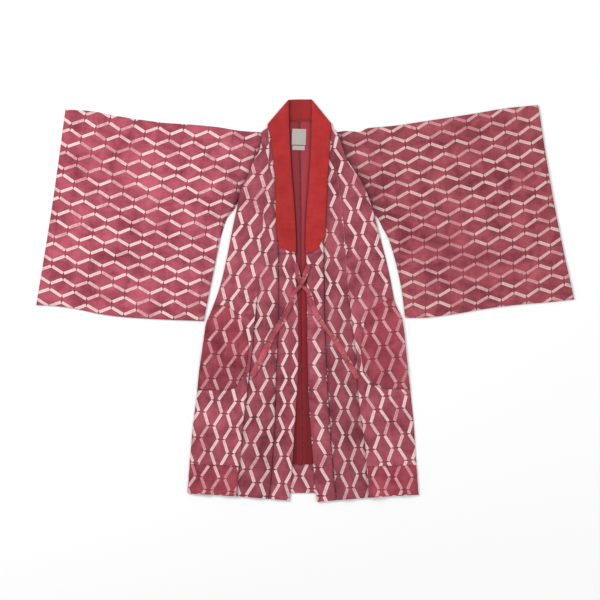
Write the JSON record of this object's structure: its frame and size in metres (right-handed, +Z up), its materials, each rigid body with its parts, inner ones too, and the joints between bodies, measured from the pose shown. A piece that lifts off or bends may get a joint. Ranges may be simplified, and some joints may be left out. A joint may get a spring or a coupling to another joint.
{
  "type": "kimono coat",
  "caption": "Kimono coat laid out flat, with deep open sleeves, a plain over-collar, front bands, side pockets and a pair of half-knotted ties.",
  "frame": {"origin": "centre of the coat's outline on the surface it lies on", "axes": "+X across the coat towards the sleeve that is on the right as seen, +Y from hem to neck, +Z up from the surface towards the fronts"},
  "size_m": [1.344, 1.0059, 0.0092],
  "materials": {
    "printed_cloth": "matte printed slub cotton, rose crimson with a pale net of bars",
    "collar_cloth": "matte plain red weave",
    "lining_cloth": "soft plain red lining",
    "label_tape": "plain woven tape, blank"
  },
  "bodies": {
    "root": {"back_left": "printed_cloth", "back_right": "printed_cloth", "sleeve_left": "printed_cloth", "sleeve_right": "printed_cloth", "front_left": "printed_cloth", "front_right": "printed_cloth", "band_left": "printed_cloth", "band_right": "printed_cloth", "collar": "collar_cloth", "lining_left": "lining_cloth", "lining_right": "lining_cloth", "hem_facing": "printed_cloth", "pocket_left": "printed_cloth", "pocket_right": "printed_cloth", "hem_patch_left": "printed_cloth", "hem_patch_right": "printed_cloth", "tie_left": "printed_cloth", "tie_right": "printed_cloth", "label": "label_tape", "size_tab": "label_tape"}
  },
  "joints": []
}
